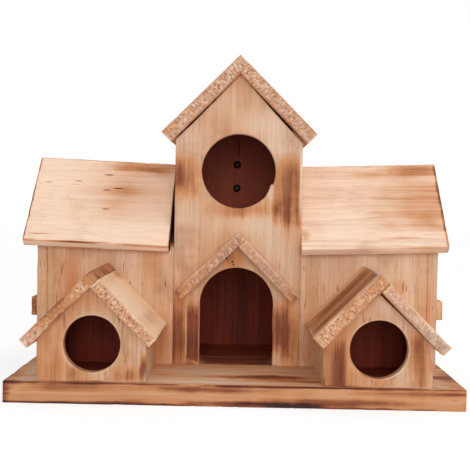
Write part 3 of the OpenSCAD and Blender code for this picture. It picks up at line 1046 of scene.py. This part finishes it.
def round_hole(face, low, high):
    """Centre and radius of a round hole from a face's points between two shares of its height."""
    shares = (face - face.min(0)) / np.ptp(face, axis=0)
    inner = (np.abs(shares[:, 0] - 0.5) < INNER_HALF) & (shares[:, 1] > low) & (shares[:, 1] < high)
    kept = face[inner]
    return (kept.min(0) + kept.max(0)) / 2, np.ptp(kept, axis=0).max() / 2


def gable_outline(face):
    """Foot, shoulders and peak of a gabled wall's face, anticlockwise from the lower left."""
    (left, foot), (right, top) = face.min(0), face.max(0)
    left_shoulder = face[face[:, 0] < left + TOUCH][:, 1].max()
    right_shoulder = face[face[:, 0] > right - TOUCH][:, 1].max()
    return [(left, foot), (right, foot), (right, right_shoulder), ((left + right) / 2, top),
            (left, left_shoulder)]


def wandering(direction, seed):
    """Noise that goes once round a hand-sawn hole, by the direction from its centre."""
    circle = np.column_stack([direction * RIM_CIRCLE, np.zeros(len(direction))])
    return lattice_noise(circle, RIM_CELL, seed)


def holed_gable(node, outward, look, cut):
    """A gabled wall with a round hole: straight rays run from the hole's rim to the wall's outline."""
    settings = bpy.context.scene.birdhouse_boards
    axes = wall_axes(outward)
    face, depth, thickness = wall_face(node, axes)
    outline = gable_outline(face)
    centre, radius = round_hole(face, *ENTRANCE)
    outer = polyline(outline + outline[:1], settings.grid)
    direction = unit(outer - centre)
    inner = centre + direction * (radius + settings.rim * wandering(direction, cut.seed))[:, None]
    gap = np.linalg.norm(outer - inner, axis=1).mean()
    field_points, cells = ruled(inner, outer, steps(gap, settings.grid * RAY_STEP), True)
    surface = board(field_points, cells, thickness, cut, settings)
    return make_piece(node + "_board", surface, flat_place(axes[2] * depth, axes), look, node)


# Splinter in the tower's round hole, in degrees round it
SPLINTER_START = -42
SPLINTER_RUN = 18
SPLINTER_END = -20.5

# Tower front's arch, and the strip that has split off beside it
ARCH_TOP = 0.36
ARCH_FOOT = 9 * MM
ARCH_WAVE = 0.35 * MM
SHORT_WAVE = 7.5 * MM
LONG_WAVE = 21 * MM
ARCH_RAY = np.array([0, 0.1, 0.2, 0.3, 0.4, 0.47, 0.495, 0.56, 0.66, 0.77, 0.88, 1])
HOLE_RAY = 18 * MM
SPLIT_DEPTH = 1.7 * MM
SPLIT_WIDTH = 10.2 * MM
SPLIT_HEIGHT = 40 * MM
SPLIT_FADE = 12 * MM
LIP_HEIGHT = 4 * MM
LIP_FALL = 3.2 * MM
LIP_EDGE = 0.9 * MM
LIP_START = 10.5 * MM
LIP_RUN = 10 * MM

# Low places in the tower gable's edges: share of the way from shoulder to peak, and drop
LEFT_DIP = (0.3, 1.1 * MM)
RIGHT_DIP = (0.35, 0.5 * MM)


def upright(x, heights):
    """Points above each other at the given heights."""
    return np.column_stack([np.full(len(heights), x), heights])


def dipped(shoulder, peak, share, drop):
    """A point on the way from a shoulder to the peak, let down by a drop."""
    return np.array(shoulder) + share * np.subtract(peak, shoulder) - (0, drop)


def split_share(x, z, half, foot):
    """How far the split sets the face back, from 0 to 1.

    It is a strip beside the arch, above a lip that falls off as a square towards the arch, and it fades out
    at its upper end.
    """
    lip = foot + LIP_HEIGHT - LIP_FALL * np.clip((x + half + LIP_START) / LIP_RUN, 0, 1) ** 2
    strip = (x > -half - SPLIT_WIDTH) & (x < -half)
    fade = 1 - np.clip((z - foot - SPLIT_HEIGHT) / SPLIT_FADE, 0, 1)
    return strip * np.clip((z - lip) / LIP_EDGE, 0, 1) * fade


def tower_front(look):
    """Tower front: rays round the round hole above, a horseshoe of rays round the arch below.

    The arch's right edge wanders, a splinter stands in the round hole, and a strip beside the arch has
    split off, which sets the face back by the strip's depth.
    """
    settings = bpy.context.scene.birdhouse_boards
    node = "tower_front_wall"
    axes = np.array([(1, 0, 0), (0, 0, 1), (0, 1, 0)], float)
    face, depth, thickness = wall_face(node, axes)
    (left, foot), (right, _), right_shoulder, peak, left_shoulder = gable_outline(face)
    centre, radius = round_hole(face, *TOWER_HOLE)
    arch = face[(face[:, 1] < foot + ARCH_TOP * (peak[1] - foot)) & (face[:, 0] < right - 1 * MM)]
    half, crown = arch.max(0)
    spring = crown - half
    parting = (crown + centre[1] - radius) / 2
    fine = settings.grid / 2

    left_dip = dipped(left_shoulder, peak, *LEFT_DIP)
    right_dip = dipped(right_shoulder, peak, *RIGHT_DIP)
    outer = polyline([(left, parting), (right, parting), right_shoulder, right_dip, peak, left_dip,
                      left_shoulder, (left, parting)], fine)
    direction = unit(outer - centre)
    angles = np.degrees(np.arctan2(direction[:, 1], direction[:, 0]))
    splinter = np.clip((angles - SPLINTER_START) / SPLINTER_RUN, 0, 1) * (angles < SPLINTER_END)
    rim = radius + settings.rim * wandering(direction, 5) - settings.nick * splinter
    upper = ruled(centre + direction * rim[:, None], outer, steps(HOLE_RAY, settings.grid), True)

    low_rows = np.linspace(foot, foot + ARCH_FOOT, 10)
    rows = np.concatenate([low_rows, np.linspace(foot + ARCH_FOOT, spring, 18)[1:]])
    rise = np.linspace(0, math.pi / 4, 24)[1:]
    top = steps(right - left, fine)
    crest = np.linspace(math.pi / 4, 3 * math.pi / 4, len(top))
    turn = np.concatenate([rise, crest[1:-1], math.pi - rise[::-1]])
    wave = ARCH_WAVE * np.sin((rows - foot) / SHORT_WAVE) * np.sin((rows - foot) / LONG_WAVE)
    inner = np.concatenate([np.column_stack([half + wave, rows]),
                            np.column_stack([half * np.cos(turn), spring + half * np.sin(turn)]),
                            upright(-half, rows)[::-1]])
    heights = np.concatenate([rows, np.linspace(spring, parting, 24)[1:-1]])
    level = np.column_stack([right + (left - right) * top, np.full(len(top), parting)])
    edge = np.concatenate([upright(right, heights), level, upright(left, heights)[::-1]])
    field_points, cells = weld(upper, ruled(inner, edge, ARCH_RAY, False))
    placed, quads, marks = board(field_points, cells, thickness, Cut(7), settings)
    front = slice(0, len(field_points))
    share = split_share(placed[front, 0], placed[front, 1], half, foot)
    placed[front, 2] += SPLIT_DEPTH * share
    marks["split"] = np.concatenate([share, np.zeros(len(placed) - len(share))])
    return make_piece(node + "_board", (placed, quads, marks), flat_place(axes[2] * depth, axes), look, node)


DENT_DEPTH = 0.35 * MM
DENT_REACH = 3 * MM


def plain_gable(node, outward, look, cut, screws=()):
    """A closed gabled wall: two fields that meet on the line from the foot to the peak.

    Round the end of each screw the face is dented: full depth within the reach, none at twice the reach.
    """
    settings = bpy.context.scene.birdhouse_boards
    axes = wall_axes(outward)
    face, depth, thickness = wall_face(node, axes)
    left, right, right_shoulder, peak, left_shoulder = gable_outline(face)
    middle = (peak[0], left[1])
    field_points, cells = weld(patch([left, middle, peak, left_shoulder], settings.grid),
                               patch([middle, right, right_shoulder, peak], settings.grid))
    placed, quads, marks = board(field_points, cells, thickness, cut, settings)
    front = slice(0, len(field_points))
    for screw in screws:
        screw_end = (np.sum(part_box(screw), axis=0) / 2 @ axes.T)[:2]
        away = np.linalg.norm(placed[front, :2] - screw_end, axis=1)
        placed[front, 2] += DENT_DEPTH * np.clip(2 - away / DENT_REACH, 0, 1)
    surface = (placed, quads, marks)
    return make_piece(node + "_board", surface, flat_place(axes[2] * depth, axes), look, node)


class BIRDHOUSE_OT_tower(bpy.types.Operator):
    """Tower walls and roof boards"""
    bl_idname = "birdhouse.tower"
    bl_label = "Tower"

    def execute(self, context):
        front = Wood("tower_front_wood", UPRIGHT, (12, 30, 0), ring=4.5, wavy=1.6, sap=0.35, dash=0.25,
                     split=0.5, smudge=0.55, edge=0.12, **marked("tower_front"))
        tower_front(wood_material(front))
        wall = wood_material(Wood("tower_wall_wood", UPRIGHT, (20, 60, 0), ring=3.6, late=0.2, streak=0.3,
                                  band=0.2, line=0.2, sap=0.3, **marked("tower_walls")))
        plain_gable("tower_back_wall", (0, 1, 0), wall, Cut(8), SCREWS)
        for number, (side, sign) in enumerate(SIDES.items()):
            block_board(f"tower_{side}_wall", (sign, 0, 0), (0, 0, 1), wall, Cut(9 + number))
            roof_marks = [Patch((sign * 57, -28, 203), (10, 5, 10), 0.5),
                          Patch((38, -28, 222), (36, 5, 36), 0.3, 1.0),
                          Patch((sign * 59, 40, 202), (9, 80, 9), 0.4),
                          Patch((sign * 30, 96, 231), (50, 7, 50), 0.5, 0.8)]
            # The roof boards take painted shade on their faces inside the room.
            look = Wood(f"tower_roof_{side}_wood", INWARD, (sign * 40, 0, 170), bare="cream", ring=4,
                        late=0.25, streak=0.4, sawn_turn=-45 * sign, contrast=0.66, fine=1.1, ash=0.8,
                        shade=0.93, painted_room_shade=1.5, sawn_torch=0.6, patches=roof_marks)
            block_board(f"tower_roof_{side}", (sign, 0, 1), (0, 1, 0), wood_material(look),
                        Cut(11 + number, (0,)))
        return {"FINISHED"}


class BIRDHOUSE_OT_hood(bpy.types.Operator):
    """Two slats of the hood over the arch"""
    bl_idname = "birdhouse.hood"
    bl_label = "Hood"

    def execute(self, context):
        contrast = {"left": 0.6, "right": 0.4}
        shade = {"left": 0.8, "right": 0.97}
        for number, (side, sign) in enumerate(SIDES.items()):
            look = Wood(f"hood_{side}_wood", (0, -45 * sign, 0), (0, -60, 100), ring=2.6, edge=0.2, worn=0.35,
                        sawn_turn=-45 * sign, contrast=contrast[side], ash=1.0, shade=shade[side],
                        sawn_torch=0.7, patches=[Patch((sign * 46, -31, 74), (10, 5, 10), 0.8),
                                                 Patch((sign * 24, -31, 96), (70, 5, 70), 0.16, 1.0)])
            block_board(f"hood_{side}_slat", (sign, 0, 1), (sign, 0, -1), wood_material(look),
                        Cut(15 + number, (1,)))
        return {"FINISHED"}


class BIRDHOUSE_OT_wings(bpy.types.Operator):
    """Walls and roof boards of both wings"""
    bl_idname = "birdhouse.wings"
    bl_label = "Wings"

    def execute(self, context):
        roofs = {
            "left": Wood("left_roof_wood", ACROSS, (0, -60, 90), bare="cream", ring=5, wavy=3, late=0.05,
                         streak=0.07, band=0.08, dash=0.2, line=0.08, edge=0.5, sooty=0.04,
                         **marked("left_roof")),
            "right": Wood("right_roof_wood", ACROSS, (0, -40, 110), bare="cream", ring=7, wavy=9, late=0.38,
                          streak=0.12, band=0.12, dash=0.2, line=0.12, edge=0.25, sooty=0.1,
                          **marked("right_roof")),
        }
        corners = {"left": (0.8 * MM, 0.8 * MM, 3 * MM, 0.8 * MM), "right": SQUARE_CORNERS}
        for number, (side, sign) in enumerate(SIDES.items()):
            # The wing walls take painted shade inside the rooms.
            wall = wood_material(Wood(f"{side}_wing_wood", UPRIGHT, (sign * 95, 20, 0), ring=3.4, streak=0.6,
                                      band=0.22, sap=0.7, dash=0.9, smudge=0.6, sooty=0.3, painted_room_shade=0.6,
                                      edge=0.12, **marked(side + "_wing")))
            roof = wood_material(roofs[side])
            block_board(f"{side}_wing_front_wall", (0, -1, 0), (0, 0, 1), wall,
                        Cut(21 + number))
            block_board(f"{side}_wing_back_wall", (0, 1, 0), (0, 0, 1), wall, Cut(23 + number))
            holed_gable(f"{side}_wing_end_wall", (sign, 0, 0), wall, Cut(25 + number))
            for turn, face in (("front", -1), ("back", 1)):
                block_board(f"{side}_wing_roof_{turn}", (0, face, 1), (1, 0, 0), roof,
                            Cut(27 + number * 2 + face, corners=corners[side]))
        return {"FINISHED"}


class BIRDHOUSE_OT_small_houses(bpy.types.Operator):
    """Walls and roof boards of the two small houses"""
    bl_idname = "birdhouse.small_houses"
    bl_label = "Small houses"

    def execute(self, context):
        roofs = {
            "left_outer": dict(late=0.15, streak=0.25, contrast=0.75, dusk=1.0, fine=1.1, sooty=0.3,
                               sawn_torch=0.9),
            "left_inner": dict(late=0.05, streak=0.08, band=0.05, line=0.1, contrast=0.75, dusk=0.8, ash=0.25,
                               fine=1.1, worn=0.3, sooty=0.05, smudge=0.05),
            "right_inner": dict(late=0.12, streak=0.1, contrast=0.95, dusk=0.8, fine=1.2, sawn_torch=0.8,
                                sooty=0.15, worn=0.5, smudge=0.05),
            # The right outer slat takes painted shade on its faces inside the room.
            "right_outer": dict(late=0.15, streak=0.25, contrast=0.4, dusk=0.25, ash=0.9, fine=1.2, worn=0.4,
                                painted_room_shade=1.5),
        }
        for number, (side, sign) in enumerate(SIDES.items()):
            # The house walls take painted shade inside the rooms.
            wall = wood_material(Wood(f"{side}_house_wood", UPRIGHT, (sign * 108, -60, 0), ring=3.6, wavy=1.5,
                                      streak=0.8, band=0.6, sap=0.6, line=0.6, dash=0.8, smudge=0.5,
                                      worn=0.35, sooty=0.55, painted_room_shade=0.6, **marked(side + "_house")))
            holed_gable(f"{side}_house_front_wall", (0, -1, 0), wall, Cut(31 + number))
            for way, facing in (("outer", sign), ("inner", -sign)):
                block_board(f"{side}_house_{way}_wall", (facing, 0, 0), (0, 0, 1), wall,
                            Cut(33 + number * 2 + facing))
                look = Wood(f"{side}_house_roof_{way}_wood", (0, -45 * facing, 0), (sign * 100, 0, 20),
                            bare="peach", ring=4, sawn_turn=-45 * facing, **roofs[f"{side}_{way}"],
                            **marked(f"{side}_{way}_roof"))
                block_board(f"{side}_house_roof_{way}", (facing, 0, 1), (0, 1, 0), wood_material(look),
                            Cut(37 + number * 2 + facing, (0,), rough=1.5))
        return {"FINISHED"}


class BIRDHOUSE_OT_ledges(bpy.types.Operator):
    """Landing strips on the wing ends"""
    bl_idname = "birdhouse.ledges"
    bl_label = "Ledges"

    def execute(self, context):
        burn = {"left": 1.05, "right": 0.2}
        for number, (side, sign) in enumerate(SIDES.items()):
            look = Wood(f"{side}_ledge_wood", INWARD, (0, 0, 20), bare="peach", ring=2.4, edge=0.5, sawn=0.2,
                        sooty=burn[side], patches=[Patch((sign * 163, 5, 58), (12, 30, 14), burn[side])])
            block_board(f"{side}_ledge", (sign, 0, 0), (0, 1, 0), wood_material(look),
                        Cut(45 + number, (0,)))
        return {"FINISHED"}


class BIRDHOUSE_OT_screws(bpy.types.Operator):
    """Dark finish of the two screws in the tower's back wall"""
    bl_idname = "birdhouse.screws"
    bl_label = "Screws"

    def execute(self, context):
        material = screw_material()
        for node in SCREWS:
            for place in frame["nodes"][node].material_slots:
                place.material = material
        return {"FINISHED"}


# Sizes of the stage in metres, and how white its floor looks to the camera

FLOOR_HALF = 4.0
FLOOR_DROP = 0.05 * MM
FLOOR_SHARE = 0.4
FLOOR_WHITE = 1.62
FLOOR_FAR_WHITE = 0.14
FLOOR_NEAR = 0.2
FLOOR_FAR = 2.6
LAMP_TARGET = (0, -0.03, 0.12)
KEY_PLACE = (0.15, -2.1, 0.55)
KEY_SIZE = 1.2
TOP_PLACE = (0.95, -0.55, 1.5)
TOP_SIZE = 1.4


def shown_white(s, end, lit, white, share=None):
    """Puts a white shader over a lit one for rays that come from the camera, gloss or glass."""
    path = s.nodes.new("ShaderNodeLightPath").outputs
    beyond = s.math("MAXIMUM", path["Is Glossy Ray"], path["Is Transmission Ray"])
    seen = s.math("MAXIMUM", path["Is Camera Ray"], beyond)
    mix = s.nodes.new("ShaderNodeMixShader")
    s.put(mix.inputs[0], seen if share is None else s.times(seen, share))
    s.put(mix.inputs[1], lit.outputs[0])
    s.put(mix.inputs[2], white.outputs[0])
    s.put(s.nodes[end].inputs["Surface"], mix.outputs[0])


def floor_material():
    """Pale diffuse floor that keeps shadows and shows white to the camera where nothing shades it."""
    material, s, shader, place = new_material("studio_floor")
    shader.inputs["Base Color"].default_value = solid(bpy.context.scene.birdhouse_stage.floor)
    shader.inputs["Roughness"].default_value = 0.9
    shader.inputs["Specular IOR Level"].default_value = 0.0
    white = s.nodes.new("ShaderNodeEmission")
    far = s.step(s.vector("LENGTH", place), FLOOR_NEAR, FLOOR_FAR)
    s.put(white.inputs["Strength"], s.plus(s.times(far, FLOOR_FAR_WHITE), FLOOR_WHITE))
    shown_white(s, "Material Output", shader, white, FLOOR_SHARE)
    return material


def area_lamp(name, place, size, power):
    """A square soft lamp that faces the object."""
    light = bpy.data.lights.new(name, "AREA")
    light.size = size
    light.energy = power
    lamp = bpy.data.objects.new(name, light)
    lamp.location = place
    lamp.rotation_euler = (Vector(LAMP_TARGET) - Vector(place)).to_track_quat("-Z", "Y").to_euler()
    bpy.context.scene.collection.objects.link(lamp)


class BIRDHOUSE_OT_stage(bpy.types.Operator):
    """Camera, even light, two soft lamps and the floor"""
    bl_idname = "birdhouse.stage"
    bl_label = "Stage"

    def execute(self, context):
        stage = context.scene.birdhouse_stage
        context.scene.view_settings.view_transform = "Standard"
        self.camera(context, stage)
        self.sky(context, stage)
        area_lamp("key_lamp", KEY_PLACE, KEY_SIZE, stage.key)
        area_lamp("top_lamp", TOP_PLACE, TOP_SIZE, stage.top)
        corners = np.array([(-1, -1), (1, -1), (1, 1), (-1, 1)]) * FLOOR_HALF
        points, quads = patch(corners, 1.0)
        mesh = bpy.data.meshes.new("studio_floor")
        mesh.from_pydata(np.column_stack([points, np.full(len(points), -FLOOR_DROP)]), [], quads.tolist())
        mesh.materials.append(floor_material())
        floor = bpy.data.objects.new("studio_floor", mesh)
        context.scene.collection.objects.link(floor)
        return {"FINISHED"}

    def camera(self, context, stage):
        """Camera from its place, yaw, pitch and roll."""
        level = math.cos(stage.pitch)
        ahead = Vector((math.sin(stage.yaw) * level, math.cos(stage.yaw) * level, math.sin(stage.pitch)))
        right = Vector((math.cos(stage.yaw), -math.sin(stage.yaw), 0))
        up = right.cross(ahead)
        rolled_right = math.cos(stage.roll) * right + math.sin(stage.roll) * up
        rolled_up = math.cos(stage.roll) * up - math.sin(stage.roll) * right
        turn = Matrix((rolled_right, rolled_up, -ahead)).transposed().to_4x4()
        data = bpy.data.cameras.new("photo_camera")
        data.lens = stage.lens
        data.sensor_width = 36
        data.clip_start = 0.01
        camera = bpy.data.objects.new("photo_camera", data)
        camera.matrix_world = Matrix.Translation((stage.camera_x, stage.camera_y, stage.camera_z)) @ turn
        context.scene.collection.objects.link(camera)
        context.scene.camera = camera

    def sky(self, context, stage):
        """Even light all round, white where the camera sees it."""
        world = bpy.data.worlds.new("studio_sky")
        world.use_nodes = True
        context.scene.world = world
        s = Shading(world.node_tree)
        light = s.nodes["Background"]
        light.inputs["Strength"].default_value = stage.sky
        white = s.nodes.new("ShaderNodeBackground")
        for background in (light, white):
            background.inputs["Color"].default_value = (1, 1, 1, 1)
        shown_white(s, "World Output", light, white)


STEPS = (BIRDHOUSE_OT_stage, BIRDHOUSE_OT_base, BIRDHOUSE_OT_tower, BIRDHOUSE_OT_hood, BIRDHOUSE_OT_wings,
         BIRDHOUSE_OT_small_houses, BIRDHOUSE_OT_ledges, BIRDHOUSE_OT_screws)
SETTINGS = {"birdhouse_boards": BoardSettings, "birdhouse_wood": WoodColours,
            "birdhouse_stage": StageSettings}


class BIRDHOUSE_PT_panel(bpy.types.Panel):
    """Steps and settings of the birdhouse"""
    bl_idname = "BIRDHOUSE_PT_panel"
    bl_label = "Birdhouse"
    bl_space_type = "VIEW_3D"
    bl_region_type = "UI"
    bl_category = "Birdhouse"

    def draw(self, context):
        for step in STEPS:
            self.layout.operator(step.bl_idname)
        for group in SETTINGS:
            settings = getattr(context.scene, group)
            box = self.layout.box()
            for name in settings.__annotations__:
                box.prop(settings, name)


CLASSES = (*SETTINGS.values(), *STEPS, BIRDHOUSE_PT_panel)


def register():
    for cls in CLASSES:
        bpy.utils.register_class(cls)
    for name, cls in SETTINGS.items():
        setattr(bpy.types.Scene, name, bpy.props.PointerProperty(type=cls))


def unregister():
    for name in SETTINGS:
        delattr(bpy.types.Scene, name)
    for cls in reversed(CLASSES):
        bpy.utils.unregister_class(cls)


def main():
    """Builds everything in order."""
    register()
    bpy.ops.birdhouse.stage()
    bpy.ops.birdhouse.base()
    bpy.ops.birdhouse.tower()
    bpy.ops.birdhouse.hood()
    bpy.ops.birdhouse.wings()
    bpy.ops.birdhouse.small_houses()
    bpy.ops.birdhouse.ledges()
    bpy.ops.birdhouse.screws()


if __name__ == "__main__":
    main()
